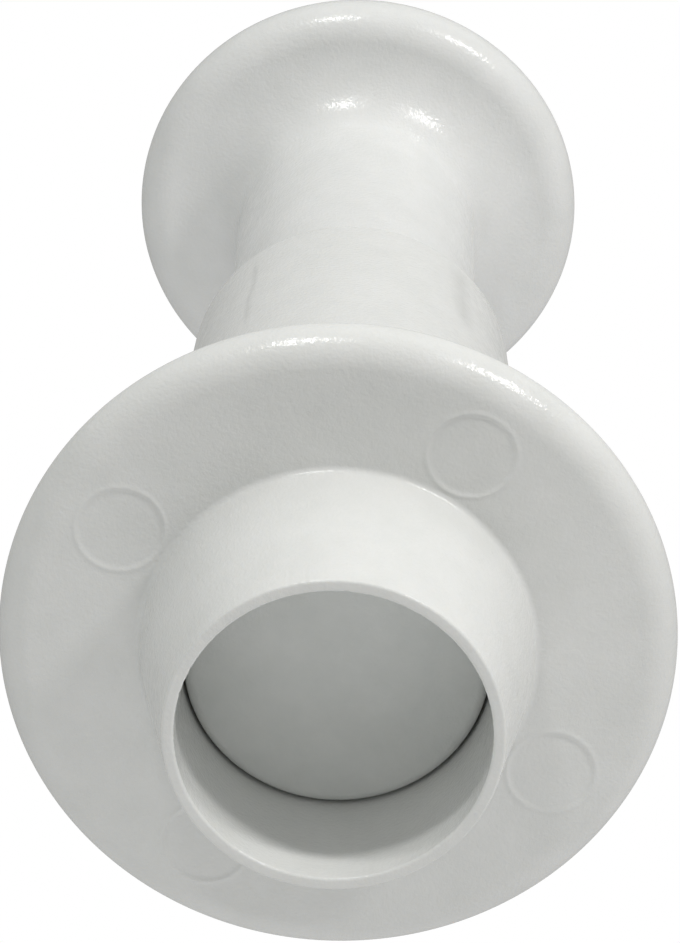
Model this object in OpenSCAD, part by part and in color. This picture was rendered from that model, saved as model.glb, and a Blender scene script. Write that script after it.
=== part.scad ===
// Plunger cutter for dough and sugar paste: a round cutting ring with a spring-loaded plate that
// pushes the cut piece out.
// The tool stands on its cutting lip. z = 0 is the plane of the lip, +Z runs up the axis to the knob.
// Every turned piece is one outline of [radius, height, rounding] corners, revolved about the axis.

/* [Cutting ring] */
// Inside diameter of the ring, the size of the round that it cuts
cut_d = 16; // [12:0.5:30]
// Wall of the ring at its cutting lip
lip_wall = 0.62; // [0.5:0.02:1.2]
// Wall of the ring where it meets the flange
ring_base_wall = 2.2; // [1.6:0.1:4]
// Height of the ring from the lip to the flange
ring_h = 9.8; // [7:0.2:18]
// Rounding of the two edges of the lip
lip_round = 0.15; // [0.05:0.01:0.2]

/* [Flange] */
// How far the flange stands out past the foot of the ring
flange_reach = 7.3; // [6.4:0.1:14]
// Thickness of the flange
flange_t = 2.4; // [2.2:0.1:4]
// Rounding of the flange's edge on the side of the ring
flange_edge_round = 1.7; // [1:0.1:1.9]
// Diameter of the round marks that the ejector pins of the mould leave
mark_d = 4.6; // [3:0.2:5]
// Depth of the ejector-pin marks
mark_depth = 0.06; // [0.04:0.01:0.2]
// Direction of the first ejector-pin mark about the axis
mark_angle = -60.9; // [-180:0.1:180]

/* [Barrel] */
// Height of the barrel from the flange's face on the side of the ring
barrel_h = 36.6; // [30:0.2:60]
// Wall of the barrel at its open end
barrel_top_wall = 1.8; // [1.2:0.1:3]
// Wall of the barrel where it meets the flange
barrel_base_wall = 3.6; // [2:0.1:5]
// Rounding between the barrel and the flange
barrel_root_round = 1.2; // [0.4:0.1:2]
// Rounding of the barrel's open end
barrel_mouth_round = 0.5; // [0.1:0.05:0.55]

/* [Web and guide bush] */
// Thickness of the web between the ring's bore and the barrel's bore
web_t = 2; // [1.5:0.1:3]
// Height of the guide bush above the web
bush_h = 5; // [3:0.5:8]
// Wall of the guide bush
bush_wall = 1.15; // [0.8:0.05:1.2]

/* [Knob] */
// Diameter of the knob
knob_d = 26; // [24:0.5:34]
// Thickness of the knob's rim
knob_rim_t = 3.8; // [3:0.1:5]
// Depth of the thumb dish in the top of the knob
dish_depth = 0.9; // [0.4:0.1:1.4]
// Thickness of the knob's top plate in the middle of the dish
knob_plate_t = 2; // [1.4:0.1:3]
// Diameter of the knob's neck
neck_d = 14; // [13.4:0.2:16]
// Wall of the neck
neck_wall = 1.5; // [1:0.1:1.8]
// Length of neck that shows between the barrel and the knob's underside
neck_show = 23.1; // [20:0.1:40]
// Rounding of the flare from the neck to the knob's underside
flare_round = 3; // [1:0.1:3.4]
// Length of the socket for the stem in the knob's boss
socket_l = 10; // [6:0.5:12]
// Thickness of the four ribs beside the boss
rib_t = 0.9; // [0.6:0.1:1.5]

/* [Ejector plate] */
// Thickness of the ejector plate
plate_t = 1.75; // [1.2:0.05:3]
// Gap between the edge of the plate and the ring's bore
plate_gap = 0.15; // [0.08:0.01:0.3]
// Diameter of the stem
stem_d = 5; // [4:0.1:5.2]
// Step from the stem down to the spigot in the knob's boss
spigot_step = 0.5; // [0.3:0.05:0.8]

/* [Travel and spring] */
// How far the knob can be pressed
travel = 10; // [6:0.5:11]
// Length of the spring between its two seats with the knob up
spring_l = 38; // [30:0.5:44]
// Diameter of the spring's wire
wire_d = 0.8; // [0.6:0.05:0.9]
// Turns of the spring between its two close end turns
active_turns = 13; // [8:1:14]
// Rise of each close end turn
end_pitch = 1.3; // [1.3:0.05:1.6]

/* [Fits] */
// Gap all round between the neck and the barrel, a running fit
neck_clear = 0.08; // [0.03:0.01:0.1]
// Gap all round between the stem and the guide bush, a running fit
stem_clear = 0.06; // [0.03:0.01:0.1]
// Overlap of the spigot and its socket, a press fit
press_overlap = 0.02; // [0.01:0.01:0.04]
// Gap left at each stop and at each end of the spring
stop_gap = 0.05; // [0.02:0.01:0.1]

/* [Hidden] */

// Facets round a turned piece where it is drawn as a mesh
round_facets = 120;
// Largest angle between two points of a rounded corner
arc_step = 9;
// Smallest straight stretch between two roundings on one edge
edge_land = 0.1;
// Depth by which a cut or a rib runs on past the face it meets
run_on = 0.2;
// Small edge rounding of the pieces inside
inner_round = 0.3;
// Fillet where the ring meets the flange
ring_root_round = 0.35;
// Chamfer at the mouth of the guide bush, which clears the fillet behind the plate
bush_chamfer = 0.8;
// Fillet between the stem and the plate
stem_root_round = 0.5;
// Number of ejector-pin marks and of ribs
mark_count = 4;
rib_count = 4;

// Radii of the body
cut_r = cut_d / 2;
lip_r = cut_r + lip_wall;
ring_base_r = cut_r + ring_base_wall;
flange_r = ring_base_r + flange_reach;
flange_flat_r = flange_r - flange_edge_round;
flange_top_round = flange_t - flange_edge_round - edge_land;
mark_r = (ring_base_r + flange_flat_r) / 2;
neck_r = neck_d / 2;
barrel_bore_r = neck_r + neck_clear;
barrel_top_r = barrel_bore_r + barrel_top_wall;
barrel_base_r = barrel_bore_r + barrel_base_wall;
stem_r = stem_d / 2;
bush_bore_r = stem_r + stem_clear;
bush_r = bush_bore_r + bush_wall;

// Heights of the body
web_top_z = ring_h + web_t;
flange_top_z = ring_h + flange_t;
barrel_top_z = ring_h + barrel_h;
bush_top_z = web_top_z + bush_h;

// The knob: its neck ends where the travel stops on the web
neck_end_z = web_top_z + travel + stop_gap;
neck_bore_r = neck_r - neck_wall;
knob_under_z = barrel_top_z + neck_show;
knob_top_z = knob_under_z + knob_rim_t;
dish_z = knob_top_z - dish_depth;
ceiling_z = dish_z - knob_plate_t;
knob_r = knob_d / 2;
rim_round = (knob_rim_t - edge_land) / 2;
dish_edge_r = knob_r - rim_round - 1.2;
dish_floor_r = dish_edge_r * 0.72;
dish_round = 4;

// The spring bears on the ribs, and the boss reaches a little below them to centre it
spring_low_z = web_top_z + stop_gap;
spring_high_z = spring_low_z + spring_l;
rib_low_z = spring_high_z + stop_gap;
boss_tip = 1.2;
boss_low_z = rib_low_z - boss_tip;
boss_r = bush_r;
spigot_r = stem_r - spigot_step;
socket_r = spigot_r - press_overlap;
socket_end_gap = 0.5;

// The ejector plate rests under the web
plate_r = cut_r - plate_gap;
plate_back_z = ring_h - stop_gap;
plate_face_z = plate_back_z - plate_t;

// The spring's wire runs midway between the boss and the wall of the neck
wire_r = wire_d / 2;
coil_r = (boss_r + neck_bore_r) / 2;
turns = active_turns + 2;
rings_per_turn = 8;
wire_sides = 6;
ring_count = turns * rings_per_turn;
active_rise = spring_l - wire_d - 2 * end_pitch;

// Corner i of an outline replaced by the arc that touches both of its edges.
function unit(v) = v / norm(v);
function arc_points(centre, from, sweep, r, n) =
    [for (i = [0:n]) centre + r * [cos(from + sweep * i / n), sin(from + sweep * i / n)]];
function wrap(a) = a > 180 ? a - 360 : (a < -180 ? a + 360 : a);
function corner(before, at, after, r) =
    let (u = unit(before - at), v = unit(after - at))
    let (half = acos(max(-1, min(1, u * v))) / 2)
    r == 0 || half > 89.9 ? [at] :
    let (centre = at + unit(u + v) * r / sin(half))
    let (start = at + u * r / tan(half) - centre, end = at + v * r / tan(half) - centre)
    let (from = atan2(start.y, start.x), sweep = wrap(atan2(end.y, end.x) - from))
    arc_points(centre, from, sweep, r, max(2, ceil(abs(sweep) / arc_step)));
function flat(p) = [p.x, p.y];
function rounded(path) =
    [for (i = [0:len(path) - 1])
        each corner(flat(path[(i + len(path) - 1) % len(path)]), flat(path[i]),
            flat(path[(i + 1) % len(path)]), path[i].z)];

// A piece turned from an outline of [radius, height, rounding] corners
module turned(outline) {
    rotate_extrude($fn = round_facets)
        polygon(rounded(outline));
}

// Copies of the children spread evenly about the axis
module about_axis(count, first) {
    for (i = [0:count - 1])
        rotate([0, 0, first + i * 360 / count])
            children();
}

// Cutting ring, flange, barrel, web and guide bush in one moulding
module body_shell() {
    turned([
        [cut_r, 0, lip_round],
        [lip_r, 0, lip_round],
        [ring_base_r, ring_h, ring_root_round],
        [flange_r, ring_h, flange_edge_round],
        [flange_r, flange_top_z, flange_top_round],
        [barrel_base_r, flange_top_z, barrel_root_round],
        [barrel_top_r, barrel_top_z, barrel_mouth_round],
        [barrel_bore_r, barrel_top_z, barrel_mouth_round],
        [barrel_bore_r, web_top_z, inner_round],
        [bush_r, web_top_z, inner_round],
        [bush_r, bush_top_z, inner_round],
        [bush_bore_r, bush_top_z, inner_round],
        [bush_bore_r, ring_h + bush_chamfer, 0],
        [bush_bore_r + bush_chamfer, ring_h, 0],
        [cut_r, ring_h, inner_round]
    ]);
}

module cutter_body() {
    color("white")
        difference() {
            body_shell();
            about_axis(mark_count, mark_angle)
                translate([mark_r, 0, ring_h - run_on])
                    cylinder(d = mark_d, h = run_on + mark_depth, $fn = 48);
        }
}

// Thumb knob with its rolled rim, flared underside, hollow neck and centre boss
module knob_shell() {
    turned([
        [neck_bore_r, neck_end_z, inner_round],
        [neck_r, neck_end_z, inner_round],
        [neck_r, knob_under_z, flare_round],
        [knob_r, knob_under_z, rim_round],
        [knob_r, knob_top_z, rim_round],
        [dish_edge_r, knob_top_z, dish_round],
        [dish_floor_r, dish_z, dish_round],
        [0, dish_z, 0],
        [0, boss_low_z + socket_l + socket_end_gap, 0],
        [socket_r, boss_low_z + socket_l + socket_end_gap, 0],
        [socket_r, boss_low_z, 0],
        [boss_r, boss_low_z, inner_round],
        [boss_r, ceiling_z, inner_round],
        [neck_bore_r, ceiling_z, inner_round]
    ]);
}

// The ribs join the boss to the wall of the neck, and their lower ends are the spring's seat
module knob_ribs() {
    about_axis(rib_count, 0)
        translate([boss_r - run_on, -rib_t / 2, rib_low_z])
            cube([neck_bore_r - boss_r + 2 * run_on, rib_t, ceiling_z + run_on - rib_low_z]);
}

module knob() {
    color("white")
        union() {
            knob_shell();
            knob_ribs();
        }
}

// Disc that pushes the cut piece out, with its stem and the spigot that is pressed into the boss
module ejector_plate() {
    color("whitesmoke")
        turned([
            [0, plate_face_z, 0],
            [plate_r, plate_face_z, inner_round / 2],
            [plate_r, plate_back_z, inner_round / 2],
            [stem_r, plate_back_z, stem_root_round],
            [stem_r, boss_low_z, 0],
            [spigot_r, boss_low_z, 0],
            [spigot_r, boss_low_z + socket_l, inner_round],
            [0, boss_low_z + socket_l, 0]
        ]);
}

// Height of the wire's centre after a number of turns: close end turns, open turns between
function wire_z(turn) =
    spring_low_z + wire_r +
    end_pitch * min(turn, 1) +
    active_rise * max(0, min(turn - 1, active_turns)) / active_turns +
    end_pitch * max(0, turn - 1 - active_turns);
function wire_point(turn) =
    [coil_r * cos(360 * turn), coil_r * sin(360 * turn), wire_z(turn)];
function wire_ring(turn) =
    let (out = [cos(360 * turn), sin(360 * turn), 0])
    [for (s = [0:wire_sides - 1])
        wire_point(turn) + wire_r * (out * cos(360 * s / wire_sides) + [0, 0, 1] * sin(360 * s / wire_sides))];

// One unbroken tube along the helix
module return_spring() {
    points = [for (i = [0:ring_count]) each wire_ring(i / rings_per_turn)];
    sides = [for (i = [0:ring_count - 1], s = [0:wire_sides - 1], half = [0, 1])
        let (a = i * wire_sides + s, b = i * wire_sides + (s + 1) % wire_sides)
        half == 0 ? [a, a + wire_sides, b] : [b, a + wire_sides, b + wire_sides]];
    first_cap = [for (s = [1:wire_sides - 2]) [0, s, s + 1]];
    last = ring_count * wire_sides;
    last_cap = [for (s = [1:wire_sides - 2]) [last, last + s + 1, last + s]];
    color("silver")
        polyhedron(points = points, faces = concat(sides, first_cap, last_cap), convexity = 10);
}

// Least gap between a turn and the next one, measured between points of the wire's centre line
turn_gaps = [for (i = [0:ring_count - rings_per_turn], j = [-2:2])
    let (k = i + rings_per_turn + j)
    if (k <= ring_count && k >= 0)
    norm(wire_point(i / rings_per_turn) - wire_point(k / rings_per_turn)) - wire_d];
echo(spring_least_gap = min(turn_gaps));

cutter_body();
knob();
ejector_plate();
return_spring();
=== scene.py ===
# Plunger cutter: looks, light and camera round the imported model. Blender's lengths are in metres,
# in the model's own frame. Names here are in millimetres unless they say otherwise.
import itertools
import math

import bmesh
import bpy
from mathutils import Matrix, Vector, noise


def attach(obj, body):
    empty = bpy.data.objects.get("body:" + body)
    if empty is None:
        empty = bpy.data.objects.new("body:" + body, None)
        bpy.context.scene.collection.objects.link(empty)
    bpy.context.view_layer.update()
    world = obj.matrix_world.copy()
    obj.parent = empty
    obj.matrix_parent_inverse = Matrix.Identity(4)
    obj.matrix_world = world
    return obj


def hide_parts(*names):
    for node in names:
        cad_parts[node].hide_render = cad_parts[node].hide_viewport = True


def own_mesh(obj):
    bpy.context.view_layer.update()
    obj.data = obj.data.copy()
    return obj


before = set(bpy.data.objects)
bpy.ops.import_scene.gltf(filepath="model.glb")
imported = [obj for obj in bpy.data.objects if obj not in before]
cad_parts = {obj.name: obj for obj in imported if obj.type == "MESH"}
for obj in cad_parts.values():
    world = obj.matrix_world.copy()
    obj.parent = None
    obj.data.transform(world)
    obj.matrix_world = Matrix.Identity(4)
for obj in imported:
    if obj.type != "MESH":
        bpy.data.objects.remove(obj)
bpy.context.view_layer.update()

MM = 0.001
NEAR = 1e-4

# Cutter body, from its lip at height 0
CUT_R = 8.0
LIP_R = 8.62
LIP_ROUND = 0.15
RING_BASE_R = 10.2
RING_ROOT = 0.35
RING_H = 9.8
FLANGE_R = 17.5
FLANGE_T = 2.4
FLANGE_EDGE = 1.7
FLANGE_BACK_EDGE = 0.6
BARREL_BORE_R = 7.08
BARREL_TOP_R = 8.88
BARREL_MOUTH = 0.5
BARREL_BASE_R = 10.68
BARREL_ROOT = 1.2
BARREL_TOP_Z = 46.4
WEB_TOP_Z = 11.8
BUSH_R = 3.71
BUSH_BORE_R = 2.56
BUSH_TOP_Z = 16.8
BUSH_CHAMFER = 0.8

# Knob, with its neck and centre boss
NECK_R = 7.0
NECK_BORE_R = 5.5
NECK_END_Z = 21.85
KNOB_R = 13.0
KNOB_UNDER_Z = 69.5
KNOB_TOP_Z = 73.3
RIM_ROUND = 1.85
FLARE_OUT = 4.1
FLARE_DOWN = 3.3
FLARE_STEPS = 24
DISH_Z = 72.4
DISH_EDGE_R = KNOB_R - RIM_ROUND - 1.2
DISH_FLOOR_SHARE = 0.72
DISH_ROUND = 4
CEILING_Z = 70.4
BOSS_LOW_Z = 48.7
SOCKET_R = 1.98
SOCKET_END_Z = 59.2
RIB_LOW_Z = 49.9
RIB_T = 0.9
RIB_INTO = 0.2

# Ejector plate, with its stem and spigot
PLATE_R = 7.85
PLATE_FACE_Z = 8.0
PLATE_BACK_Z = 9.75
PLATE_EDGE = 0.6
PLATE_BACK_EDGE = 0.15
STEM_R = 2.5
STEM_ROOT = 0.5
STEM_ROUND = 0.05
SPIGOT_R = 2.0
SPIGOT_END_Z = 58.7

# Roundings of hidden corners inside the mouldings
INNER_ROUND = 0.3
FINE_ROUND = 0.1

# Spring
COIL_R = 4.605
WIRE_R = 0.4
SPRING_LOW_Z = 11.85
SPRING_HIGH_Z = 49.85
SPRING_LENGTH = SPRING_HIGH_Z - SPRING_LOW_Z
END_PITCH = 1.3
ACTIVE_TURNS = 13
RINGS_PER_TURN = 48
WIRE_SIDES = 14

# Ejector-pin marks on the flange's face
MARK_R = 2.3
MARK_RING_R = 13.0
MARK_ANGLE = math.radians(-60.9)
MARK_COUNT = 4
MARK_RIDGE_H = 0.06
MARK_RIDGE_W = 0.11
MARK_REACH = MARK_R + 4 * MARK_RIDGE_W
MARK_SINK = 0.03
MARK_SINK_W = 0.4 * MARK_RIDGE_W

# Unevenness of the moulded lip: how high it reaches, then waves a millimetre, size and slice of noise
LIP_BAND = 0.5
LIP_WAVE = (1.7, 0.02, 3.0)
LIP_GRAIN = (6.0, 0.012, 9.0)

# Nicks in the lip's inner edge: angle about the axis in degrees, half width and depth
LIP_NICKS = [(-88, 0.08, 0.06), (-155, 0.09, 0.03), (-161, 0.08, 0.025), (-166, 0.1, 0.03)]

# Faint streaks down the barrel: angle in degrees, half width, lowest and highest point, radius
BARREL_STREAKS = [(-128, 0.3, 34, 45, 9.3), (-49, 0.9, 36, 46, 9.1)]
STREAK_TONE = 0.88
STREAK_FADE = 2
STREAK_WANDER = 0.5
STREAK_WAVE = 3.0

# Facets: points round a turned piece, largest step along a straight, largest angle on an arc
AROUND = 768
STRAIGHT_STEP = 1.2
FACE_STEP = 0.1
ARC_STEP = math.radians(7)
NO_CORNER = math.radians(89.5)

# Base colours of the white plastics, darkest and lightest, and the range of their roughness
BODY_TONES = [(0.76, 0.77, 0.755), (0.8, 0.808, 0.795)]
KNOB_TONES = [(0.76, 0.77, 0.76), (0.8, 0.808, 0.8)]
PLATE_TONES = [(0.74, 0.76, 0.745), (0.79, 0.805, 0.79)]
SATIN = (0.17, 0.26)
DULL = (0.4, 0.5)
STEEL_TONES = [(0.42, 0.42, 0.43), (0.62, 0.62, 0.64)]
STEEL_ROUGHNESS = (0.2, 0.38)
FLOOR_TONES = [(0.8, 0.8, 0.8), (0.82, 0.82, 0.82)]

# Lamps: name, azimuth and elevation from the tool's middle in degrees, distance and two sizes in metres,
# power, colour, and whether the plastic mirrors it. The two that show give the paired highlights.
LAMPS = [
    ("lamp_left", -12, -12, 0.6, (0.08, 0.035), 0.9, (1.0, 0.995, 0.98), True),
    ("lamp_right", 37.5, -13, 0.6, (0.1, 0.045), 1.12, (1.0, 0.98, 0.965), True),
    ("fill_side", 90, -5, 0.6, (0.4, 0.4), 0.55, (1.0, 0.985, 1.0), False),
    ("fill_top", 0, 20, 0.6, (0.5, 0.3), 0.59, (0.98, 1.0, 1.0), False),
    ("fill_front", 180, -40, 0.6, (0.5, 0.5), 0.95, (1.0, 0.985, 1.0), False),
    ("fill_left", 250, -30, 0.6, (0.4, 0.4), 0.12, (0.85, 0.95, 1.0), False),
    ("lamp_back", 150, 60, 0.8, (0.5, 0.5), 2.0, (1.0, 1.0, 1.0), False),
]
TOOL_MIDDLE_M = 0.036
AMBIENT = (0.415, 0.415, 0.405)
FLOOR_HALF_M = 2.0

# Camera: angle off the tool's axis and roll in radians, the flange's place, and focal length in pixels
IMAGE_H = 943
VIEW_ANGLE = 0.422
VIEW_ROLL = 0.048
FLANGE_IN_VIEW = (-0.134, 9.243, 330.0)
FOCAL_PX = 6429.8
SENSOR_H = 24.0


def corner_arc(before, at, after, radius):
    """Points of the arc of a radius that touches the two edges that meet at a corner."""
    u = (before - at).normalized()
    v = (after - at).normalized()
    half = math.acos(max(-1.0, min(1.0, u.dot(v)))) / 2
    if radius == 0 or half > NO_CORNER:
        return [at]
    centre = at + (u + v).normalized() * (radius / math.sin(half))
    start = at + u * (radius / math.tan(half)) - centre
    end = at + v * (radius / math.tan(half)) - centre
    first = math.atan2(start.y, start.x)
    sweep = math.atan2(end.y, end.x) - first
    sweep = (sweep + math.pi) % (2 * math.pi) - math.pi
    steps = max(3, math.ceil(abs(sweep) / ARC_STEP))
    angles = [first + sweep * i / steps for i in range(steps + 1)]
    return [centre + radius * Vector((math.cos(a), math.sin(a))) for a in angles]


def rounded_outline(corners, closed):
    """The outline of [radius, height, rounding] corners with its corners rounded."""
    flat = [Vector(c[:2]) for c in corners]
    points = []
    for i, corner in enumerate(corners):
        is_end = not closed and i in (0, len(corners) - 1)
        if is_end:
            points.append(flat[i])
        else:
            points += corner_arc(flat[i - 1], flat[i], flat[(i + 1) % len(flat)], corner[2])
    return points


def split_straights(points, closed, step_at):
    """The outline with extra points along its straights, as close as step_at asks."""
    result = []
    count = len(points) if closed else len(points) - 1
    for i in range(count):
        a, b = points[i], points[(i + 1) % len(points)]
        pieces = max(1, math.ceil((b - a).length / step_at((a + b) / 2)))
        result += [a.lerp(b, j / pieces) for j in range(pieces)]
    if not closed:
        result.append(points[-1])
    return result


def plain_step(_point):
    """The same step all along an outline."""
    return STRAIGHT_STEP


def lathe(name, corners, closed=True, step_at=plain_step, shape=None):
    """A mesh turned about the axis. shape moves a point (radius, angle, height) of it."""
    outline = split_straights(rounded_outline(corners, closed), closed, step_at)
    verts = []
    rings = []
    for point in outline:
        if point.x < NEAR:
            rings.append([len(verts)])
            verts.append(Vector((0, 0, point.y)))
            continue
        ring = []
        for k in range(AROUND):
            angle = 2 * math.pi * k / AROUND
            radius, height = point.x, point.y
            if shape:
                radius, height = shape(radius, angle, height)
            ring.append(len(verts))
            verts.append(Vector((radius * math.cos(angle), radius * math.sin(angle), height)))
        rings.append(ring)
    faces = []
    pairs = list(zip(rings, rings[1:] + rings[:1] if closed else rings[1:]))
    for low, high in pairs:
        for k in range(AROUND):
            n = (k + 1) % AROUND
            if len(low) == 1 and len(high) == 1:
                break
            if len(low) == 1:
                faces.append((low[0], high[n], high[k]))
            elif len(high) == 1:
                faces.append((low[k], low[n], high[0]))
            else:
                faces.append((low[k], low[n], high[n], high[k]))
    return new_object(name, verts, faces)


def new_object(name, verts_mm, faces):
    """A smooth-shaded mesh object from points in millimetres."""
    mesh = bpy.data.meshes.new(name)
    mesh.from_pydata([tuple(v * MM) for v in verts_mm], [], faces)
    mesh.validate()
    mesh.polygons.foreach_set("use_smooth", [True] * len(mesh.polygons))
    mesh.update()
    piece = bpy.data.objects.new(name, mesh)
    bpy.context.scene.collection.objects.link(piece)
    return piece


def facing_out(piece):
    """Turn the faces of a closed mesh outwards."""
    work = bmesh.new()
    work.from_mesh(piece.data)
    bmesh.ops.recalc_face_normals(work, faces=work.faces)
    work.to_mesh(piece.data)
    work.free()
    return piece


def add_box(piece, low, high):
    """Join a closed box to a piece's mesh, from its lowest corner to its highest."""
    work = bmesh.new()
    work.from_mesh(piece.data)
    corners = itertools.product(*zip(low, high))
    verts = [work.verts.new((x * MM, y * MM, z * MM)) for x, y, z in corners]
    for ids in ((0, 1, 3, 2), (4, 6, 7, 5), (0, 4, 5, 1), (2, 3, 7, 6), (0, 2, 6, 4), (1, 5, 7, 3)):
        work.faces.new([verts[i] for i in ids])
    work.to_mesh(piece.data)
    work.free()


def mark_relief(x, y):
    """How far the ejector-pin marks stand out of the flange's face."""
    for i in range(MARK_COUNT):
        angle = MARK_ANGLE + 2 * math.pi * i / MARK_COUNT
        away = math.hypot(x - MARK_RING_R * math.cos(angle), y - MARK_RING_R * math.sin(angle))
        if away > MARK_REACH:
            continue
        ridge = MARK_RIDGE_H * math.exp(-((away - MARK_R) / MARK_RIDGE_W) ** 2)
        sink = MARK_SINK / (1 + math.exp((away - MARK_R) / MARK_SINK_W))
        return ridge - sink
    return 0.0


def lip_nick(angle):
    """How deep the small nicks in the lip's inner edge are at an angle."""
    depth = 0.0
    for place, width, most in LIP_NICKS:
        along = CUT_R * ((angle - math.radians(place) + math.pi) % (2 * math.pi) - math.pi)
        depth += most * math.exp(-(along / width) ** 2)
    return depth


def unevenness(x, y, wave):
    """Smooth noise over the lip, of a (waves a millimetre, size, slice)."""
    rate, size, level = wave
    return size * noise.noise(Vector((x * rate, y * rate, level)))


def body_shape(radius, angle, height):
    """Marks on the flange's face, and the small unevenness of a moulded lip."""
    x, y = radius * math.cos(angle), radius * math.sin(angle)
    if abs(height - RING_H) < NEAR and RING_BASE_R < radius < FLANGE_R:
        return radius, height - mark_relief(x, y)
    if height < LIP_BAND:
        out = unevenness(x, y, LIP_GRAIN)
        lift = max(0.0, unevenness(x, y, LIP_WAVE) + out)
        if radius < (CUT_R + LIP_R) / 2:
            out += lip_nick(angle)
        return radius + out, height + lift
    return radius, height


def body_step(point):
    """Fine steps across the flange's face for its marks, coarse elsewhere."""
    on_face = abs(point.y - RING_H) < NEAR and point.x > RING_BASE_R
    return FACE_STEP if on_face else STRAIGHT_STEP


def make_body():
    """The ring, flange, barrel, web and guide bush, turned as one moulding."""
    top = RING_H + FLANGE_T
    return facing_out(lathe("cutter_body_moulding", [
        (CUT_R, 0, LIP_ROUND),
        (LIP_R, 0, LIP_ROUND),
        (RING_BASE_R, RING_H, RING_ROOT),
        (FLANGE_R, RING_H, FLANGE_EDGE),
        (FLANGE_R, top, FLANGE_BACK_EDGE),
        (BARREL_BASE_R, top, BARREL_ROOT),
        (BARREL_TOP_R, BARREL_TOP_Z, BARREL_MOUTH),
        (BARREL_BORE_R, BARREL_TOP_Z, BARREL_MOUTH),
        (BARREL_BORE_R, WEB_TOP_Z, INNER_ROUND),
        (BUSH_R, WEB_TOP_Z, INNER_ROUND),
        (BUSH_R, BUSH_TOP_Z, INNER_ROUND),
        (BUSH_BORE_R, BUSH_TOP_Z, INNER_ROUND),
        (BUSH_BORE_R, RING_H + BUSH_CHAMFER, FINE_ROUND),
        (BUSH_BORE_R + BUSH_CHAMFER, RING_H, FINE_ROUND),
        (CUT_R, RING_H, INNER_ROUND),
    ], step_at=body_step, shape=body_shape))


def flare():
    """Corners of the knob's flared underside, a quarter of an oval from the rim to the neck."""
    corners = []
    for i in range(FLARE_STEPS + 1):
        turn = math.pi / 2 * i / FLARE_STEPS
        radius = NECK_R + FLARE_OUT * (1 - math.sin(turn))
        corners.append((radius, KNOB_UNDER_Z - FLARE_DOWN * (1 - math.cos(turn)), 0))
    return corners


def add_ribs(knob):
    """Four ribs from the boss to the neck's wall, two along each axis, that the spring bears on."""
    near, far = BUSH_R - RIB_INTO, NECK_BORE_R + RIB_INTO
    top = CEILING_Z + RIB_INTO
    for start, end in ((-far, -near), (near, far)):
        add_box(knob, (start, -RIB_T / 2, RIB_LOW_Z), (end, RIB_T / 2, top))
        add_box(knob, (-RIB_T / 2, start, RIB_LOW_Z), (RIB_T / 2, end, top))


def make_knob():
    """The knob with its thumb dish and flared underside, the hollow neck, the boss and its socket."""
    knob = facing_out(lathe("knob_moulding", [
        (0, DISH_Z, 0),
        (DISH_EDGE_R * DISH_FLOOR_SHARE, DISH_Z, DISH_ROUND),
        (DISH_EDGE_R, KNOB_TOP_Z, DISH_ROUND),
        (KNOB_R, KNOB_TOP_Z, RIM_ROUND),
        (KNOB_R, KNOB_UNDER_Z, RIM_ROUND),
        *flare(),
        (NECK_R, NECK_END_Z, INNER_ROUND),
        (NECK_BORE_R, NECK_END_Z, INNER_ROUND),
        (NECK_BORE_R, CEILING_Z, INNER_ROUND),
        (BUSH_R, CEILING_Z, INNER_ROUND),
        (BUSH_R, BOSS_LOW_Z, INNER_ROUND),
        (SOCKET_R, BOSS_LOW_Z, FINE_ROUND),
        (SOCKET_R, SOCKET_END_Z, FINE_ROUND),
        (0, SOCKET_END_Z, 0),
    ], closed=False))
    add_ribs(knob)
    return knob


def make_plate():
    """The disc that pushes the cut piece out, its stem and the spigot that the knob's boss holds."""
    return facing_out(lathe("ejector_plate_moulding", [
        (0, PLATE_FACE_Z, 0),
        (PLATE_R, PLATE_FACE_Z, PLATE_EDGE),
        (PLATE_R, PLATE_BACK_Z, PLATE_BACK_EDGE),
        (STEM_R, PLATE_BACK_Z, STEM_ROOT),
        (STEM_R, BOSS_LOW_Z, STEM_ROUND),
        (SPIGOT_R, BOSS_LOW_Z, STEM_ROUND),
        (SPIGOT_R, SPIGOT_END_Z, INNER_ROUND),
        (0, SPIGOT_END_Z, 0),
    ], closed=False))


def wire_middle(turn):
    """Height of the wire's middle after so many turns from its lower end."""
    rise = SPRING_LENGTH - 2 * WIRE_R - 2 * END_PITCH
    open_turns = max(0.0, min(turn - 1, ACTIVE_TURNS))
    last_turn = max(0.0, turn - 1 - ACTIVE_TURNS)
    closed_part = END_PITCH * (min(turn, 1) + last_turn)
    return SPRING_LOW_Z + WIRE_R + closed_part + rise * open_turns / ACTIVE_TURNS


def make_spring():
    """Round wire wound in one helix, with a close turn at each end."""
    verts = []
    faces = []
    for i in range((ACTIVE_TURNS + 2) * RINGS_PER_TURN + 1):
        turn = i / RINGS_PER_TURN
        angle = 2 * math.pi * turn
        out = Vector((math.cos(angle), math.sin(angle), 0))
        for k in range(WIRE_SIDES):
            around = 2 * math.pi * k / WIRE_SIDES
            lift = Vector((0, 0, wire_middle(turn) + WIRE_R * math.sin(around)))
            verts.append(out * (COIL_R + WIRE_R * math.cos(around)) + lift)
        if i:
            base = (i - 1) * WIRE_SIDES
            for k in range(WIRE_SIDES):
                n = (k + 1) % WIRE_SIDES
                faces.append((base + k, base + n, base + WIRE_SIDES + n, base + WIRE_SIDES + k))
    faces.append(tuple(range(WIRE_SIDES)))
    faces.append(tuple(reversed(range(len(verts) - WIRE_SIDES, len(verts)))))
    return facing_out(new_object("return_spring_wire", verts, faces))


# Places of a Mix node's colour sockets: factor, first and second colour, and the result
COLOUR_MIX_INPUTS = (0, 6, 7)
COLOUR_MIX_RESULT = 2


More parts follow.
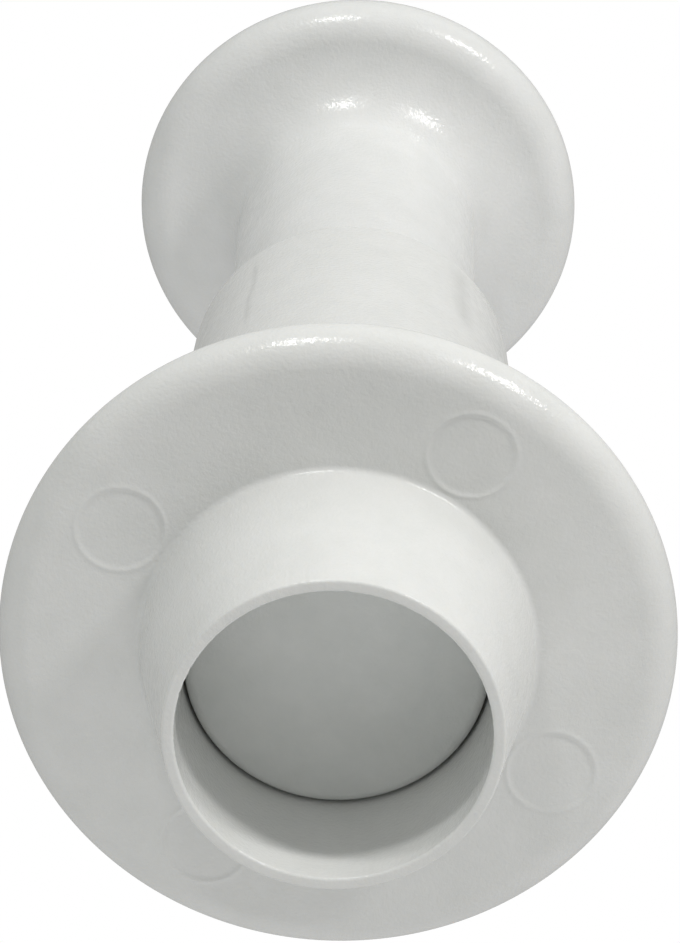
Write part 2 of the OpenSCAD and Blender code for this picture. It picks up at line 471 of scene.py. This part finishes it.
class Shader:
    """A material's node tree, with short calls for the nodes used here."""

    def __init__(self, name):
        self.material = bpy.data.materials.new(name)
        self.material.use_nodes = True
        self.tree = self.material.node_tree
        self.surface = self.tree.nodes["Principled BSDF"]
        self.place = self.node("ShaderNodeTexCoord").outputs["Object"]

    def node(self, kind, **settings):
        """A new node with its settings."""
        made = self.tree.nodes.new(kind)
        for key, value in settings.items():
            setattr(made, key, value)
        return made

    def link(self, a, b):
        """Join one node's output to another's input."""
        self.tree.links.new(a, b)

    def noise(self, grain_mm, detail=2.0, rough=0.5):
        """Noise of a grain, over the object's own coordinates."""
        made = self.node("ShaderNodeTexNoise")
        made.inputs["Scale"].default_value = 1 / (grain_mm * MM)
        made.inputs["Detail"].default_value = detail
        made.inputs["Roughness"].default_value = rough
        self.link(self.place, made.inputs["Vector"])
        return made.outputs["Fac"]

    def spread(self, value, low, high, from_low=0.3, from_high=0.7):
        """A value stretched to a range. Most of the noise lies between 0.3 and 0.7."""
        made = self.node("ShaderNodeMapRange")
        made.inputs["From Min"].default_value = from_low
        made.inputs["From Max"].default_value = from_high
        made.inputs["To Min"].default_value = low
        made.inputs["To Max"].default_value = high
        self.link(value, made.inputs["Value"])
        return made.outputs["Result"]

    def tones(self, value, colours, low=0.3, high=0.7):
        """A colour between two, by a value."""
        made = self.node("ShaderNodeValToRGB")
        for element, position, colour in zip(made.color_ramp.elements, (low, high), colours):
            element.position = position
            element.color = (*colour, 1)
        self.link(value, made.inputs["Fac"])
        return made.outputs["Color"]

    def math(self, operation, *values):
        """One step of arithmetic on numbers or sockets."""
        made = self.node("ShaderNodeMath", operation=operation)
        for socket, value in zip(made.inputs, values):
            if isinstance(value, (int, float)):
                socket.default_value = value
            else:
                self.link(value, socket)
        return made.outputs[0]

    def streak(self, degrees, width_mm, low_mm, high_mm, radius_mm):
        """Where a thin streak runs along the axis, 1 on it and 0 away from it."""
        parts = self.node("ShaderNodeSeparateXYZ")
        self.link(self.place, parts.inputs["Vector"])
        turn = self.math("ARCTAN2", parts.outputs["Y"], parts.outputs["X"])
        along = self.math("MULTIPLY", self.math("SUBTRACT", turn, math.radians(degrees)), radius_mm)
        swing = self.math("SUBTRACT", self.noise(STREAK_WAVE), 0.5)
        wander = self.math("MULTIPLY", swing, STREAK_WANDER)
        away = self.math("ABSOLUTE", self.math("ADD", along, wander))
        across = self.spread(away, 1, 0, 0, width_mm)
        height = parts.outputs["Z"]
        up = self.spread(height, 0, 1, low_mm * MM, (low_mm + STREAK_FADE) * MM)
        down = self.spread(height, 1, 0, (high_mm - STREAK_FADE) * MM, high_mm * MM)
        return self.math("MULTIPLY", across, self.math("MULTIPLY", up, down))

    def darker(self, colour, where, factor):
        """A colour times a factor, where a mask says so."""
        made = self.node("ShaderNodeMix", data_type="RGBA", blend_type="MULTIPLY")
        share, first, second = [made.inputs[i] for i in COLOUR_MIX_INPUTS]
        self.link(where, share)
        self.link(colour, first)
        second.default_value = (factor, factor, factor, 1)
        return made.outputs[COLOUR_MIX_RESULT]

    def bump(self, value, depth_mm, strength, under=None):
        """A bump of a height, over another bump where one is given."""
        made = self.node("ShaderNodeBump")
        made.inputs["Strength"].default_value = strength
        made.inputs["Distance"].default_value = depth_mm * MM
        self.link(value, made.inputs["Height"])
        if under:
            self.link(under, made.inputs["Normal"])
        return made.outputs["Normal"]


def white_plastic(name, tones, roughness, streaks=()):
    """Satin white moulded plastic: faint mottling, uneven gloss and a fine eroded grain."""
    look = Shader(name)
    colour = look.tones(look.noise(2.6, detail=4.0, rough=0.6), tones)
    for streak in streaks:
        colour = look.darker(colour, look.streak(*streak), STREAK_TONE)
    look.link(colour, look.surface.inputs["Base Color"])
    gloss = look.spread(look.noise(0.5, detail=3.0), *roughness)
    look.link(gloss, look.surface.inputs["Roughness"])
    waves = look.bump(look.noise(3.5, detail=1.0), depth_mm=0.03, strength=0.25)
    grain = look.noise(0.22, detail=2.0, rough=0.55)
    fine = look.bump(grain, depth_mm=0.045, strength=0.6, under=waves)
    look.link(fine, look.surface.inputs["Normal"])
    look.surface.inputs["IOR"].default_value = 1.48
    look.surface.inputs["Subsurface Weight"].default_value = 0.2
    look.surface.inputs["Subsurface Radius"].default_value = (1.0, 0.92, 0.8)
    look.surface.inputs["Subsurface Scale"].default_value = 0.5 * MM
    return look.material


def spring_steel(name):
    """Drawn wire: bright steel with fine marks and duller patches."""
    look = Shader(name)
    drawn = look.noise(0.12, detail=4.0, rough=0.7)
    look.link(look.tones(drawn, STEEL_TONES), look.surface.inputs["Base Color"])
    look.link(look.spread(look.noise(0.6), *STEEL_ROUGHNESS), look.surface.inputs["Roughness"])
    look.link(look.bump(drawn, depth_mm=0.006, strength=0.4), look.surface.inputs["Normal"])
    look.surface.inputs["Metallic"].default_value = 1.0
    return look.material


def dress(piece, node, body, material):
    """Give a piece its material, and let it stand for a node and move with a body."""
    piece.data.materials.clear()
    piece.data.materials.append(material)
    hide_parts(node)
    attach(piece, body)


def add_camera():
    """The camera, worked out from the view angle, the roll and the flange's place before it."""
    look = Vector((0, math.sin(VIEW_ANGLE), math.cos(VIEW_ANGLE)))
    right = Vector((1, 0, 0))
    down = look.cross(right)
    c, s = math.cos(VIEW_ROLL), math.sin(VIEW_ROLL)
    right, down = c * right - s * down, s * right + c * down
    x, y, z = FLANGE_IN_VIEW
    spot = Vector((0, 0, RING_H)) - (x * right + y * down + z * look)
    data = bpy.data.cameras.new("camera")
    data.sensor_fit = "VERTICAL"
    data.sensor_height = SENSOR_H
    data.lens = FOCAL_PX / IMAGE_H * SENSOR_H
    data.clip_start = 0.01
    camera = bpy.data.objects.new("camera", data)
    turn = Matrix((right, -down, -look)).transposed().to_4x4()
    camera.matrix_world = Matrix.Translation(spot * MM) @ turn
    bpy.context.scene.collection.objects.link(camera)
    bpy.context.scene.camera = camera


def add_lamp(name, azimuth, elevation, distance, size, power, colour, shows):
    """A soft lamp, placed by its direction from the tool's middle. Azimuth 0 is -Y, 90 is +X."""
    a, e = math.radians(azimuth), math.radians(elevation)
    aim = Vector((math.sin(a) * math.cos(e), -math.cos(a) * math.cos(e), math.sin(e)))
    data = bpy.data.lights.new(name, "AREA")
    data.shape = "RECTANGLE"
    data.size, data.size_y = size
    data.energy = power
    data.color = colour
    lamp = bpy.data.objects.new(name, data)
    lamp.location = Vector((0, 0, TOOL_MIDDLE_M)) + aim * distance
    lamp.rotation_euler = aim.to_track_quat("Z", "Y").to_euler()
    lamp.visible_glossy = shows
    bpy.context.scene.collection.objects.link(lamp)


def add_floor():
    """Pale floor under the tool. It is clear from below, where the camera looks from."""
    half = FLOOR_HALF_M / MM
    corners = ((-half, -half), (half, -half), (half, half), (-half, half))
    floor = new_object("floor", [Vector((x, y, 0)) for x, y in corners], [(0, 1, 2, 3)])
    look = Shader("floor_paint")
    colour = look.tones(look.noise(400.0, detail=1.0), FLOOR_TONES, low=0.2, high=0.8)
    look.link(colour, look.surface.inputs["Base Color"])
    look.surface.inputs["Roughness"].default_value = 0.9
    look.surface.inputs["Emission Color"].default_value = (1, 1, 1, 1)
    look.surface.inputs["Emission Strength"].default_value = 0.25
    clear = look.node("ShaderNodeBsdfTransparent")
    side = look.node("ShaderNodeNewGeometry")
    mix = look.node("ShaderNodeMixShader")
    look.link(side.outputs["Backfacing"], mix.inputs["Fac"])
    look.link(look.surface.outputs["BSDF"], mix.inputs[1])
    look.link(clear.outputs["BSDF"], mix.inputs[2])
    look.link(mix.outputs["Shader"], look.tree.nodes["Material Output"].inputs["Surface"])
    floor.data.materials.append(look.material)
    floor.visible_shadow = False
    floor.visible_diffuse = False
    floor.visible_glossy = False
    floor.visible_transmission = False


def add_world(ambient):
    """White backdrop for the camera and an even pale light for everything else."""
    world = bpy.data.worlds.new("studio")
    bpy.context.scene.world = world
    world.use_nodes = True
    tree = world.node_tree
    light = tree.nodes["Background"]
    light.inputs["Color"].default_value = (*ambient, 1)
    white = tree.nodes.new("ShaderNodeBackground")
    white.inputs["Color"].default_value = (1, 1, 1, 1)
    path = tree.nodes.new("ShaderNodeLightPath")
    mix = tree.nodes.new("ShaderNodeMixShader")
    tree.links.new(path.outputs["Is Camera Ray"], mix.inputs["Fac"])
    tree.links.new(light.outputs["Background"], mix.inputs[1])
    tree.links.new(white.outputs["Background"], mix.inputs[2])
    tree.links.new(mix.outputs["Shader"], tree.nodes["World Output"].inputs["Surface"])


add_camera()

body_look = white_plastic("white_plastic_body", BODY_TONES, SATIN, streaks=BARREL_STREAKS)
knob_look = white_plastic("white_plastic_knob", KNOB_TONES, SATIN)
plate_look = white_plastic("white_plastic_plate", PLATE_TONES, DULL)

dress(make_body(), "cutter_body", "body", body_look)
dress(make_knob(), "knob", "plunger", knob_look)
dress(make_plate(), "ejector_plate", "plunger", plate_look)
spring = make_spring()
dress(spring, "return_spring", "spring", spring_steel("spring_wire"))
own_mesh(spring)

for lamp in LAMPS:
    add_lamp(*lamp)
add_floor()
add_world(AMBIENT)

bpy.context.scene.view_settings.view_transform = "Standard"
